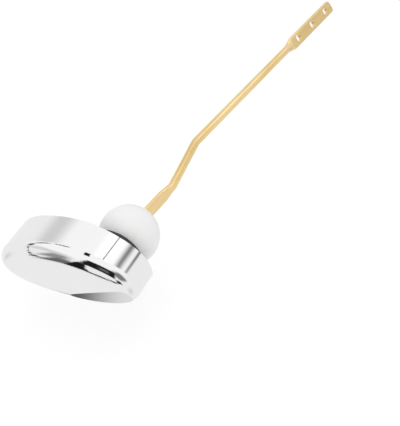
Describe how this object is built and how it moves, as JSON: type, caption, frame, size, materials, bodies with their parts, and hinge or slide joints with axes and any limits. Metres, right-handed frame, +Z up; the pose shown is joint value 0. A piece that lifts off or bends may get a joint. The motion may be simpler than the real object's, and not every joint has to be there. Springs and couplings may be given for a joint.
{
  "type": "cistern lever",
  "caption": "Cistern flush lever: rounded oblong chrome handle, spindle in a threaded bushing with ball nut and washer, and a bent brass lift arm with chain holes.",
  "frame": {"origin": "where the spindle's axis meets the outer face of the tank's wall, at the back of the bushing's flange", "axes": "+Y along the spindle into the tank, +Z up, the handle points to -X, as it is mounted"},
  "size_m": [0.0737, 0.3001, 0.0397],
  "materials": {
    "chrome": "polished chrome plating on a zinc casting",
    "brass": "drawn brass rod, bright",
    "nut_plastic": "white moulded plastic, satin",
    "rubber": "black rubber, matt",
    "bushing_plastic": "white moulded plastic, matt",
    "nylon": "natural nylon",
    "spring_steel": "spring steel"
  },
  "bodies": {
    "mount": {"mounting_bushing": "bushing_plastic"},
    "lever": {"lever_handle": "chrome", "lift_arm": "brass", "retaining_clip": "spring_steel", "thrust_washer": "nylon"},
    "washer": {"gasket_washer": "rubber"},
    "nut": {"mounting_nut": "nut_plastic"}
  },
  "joints": [
    {"name": "lever_turn", "type": "hinge", "parent": "mount", "child": "lever", "pos_m": [0, 0, 0], "axis": [0, -1, 0], "range_deg": [0, 40], "stiffness_Nm_per_rad": 0.05, "springref_deg": -40.11},
    {"name": "washer_slide", "type": "slide", "parent": "mount", "child": "washer", "axis": [0, 1, 0], "range_m": [0, 0.012]},
    {"name": "nut_turn", "type": "hinge", "parent": "washer", "child": "nut", "pos_m": [0, 0, 0], "axis": [0, -1, 0], "range_deg": [0, 2160]}
  ],
  "couplings": [
    {"joint": "washer_slide", "follows": "nut_turn", "m_per_rad": 0.00031831}
  ]
}
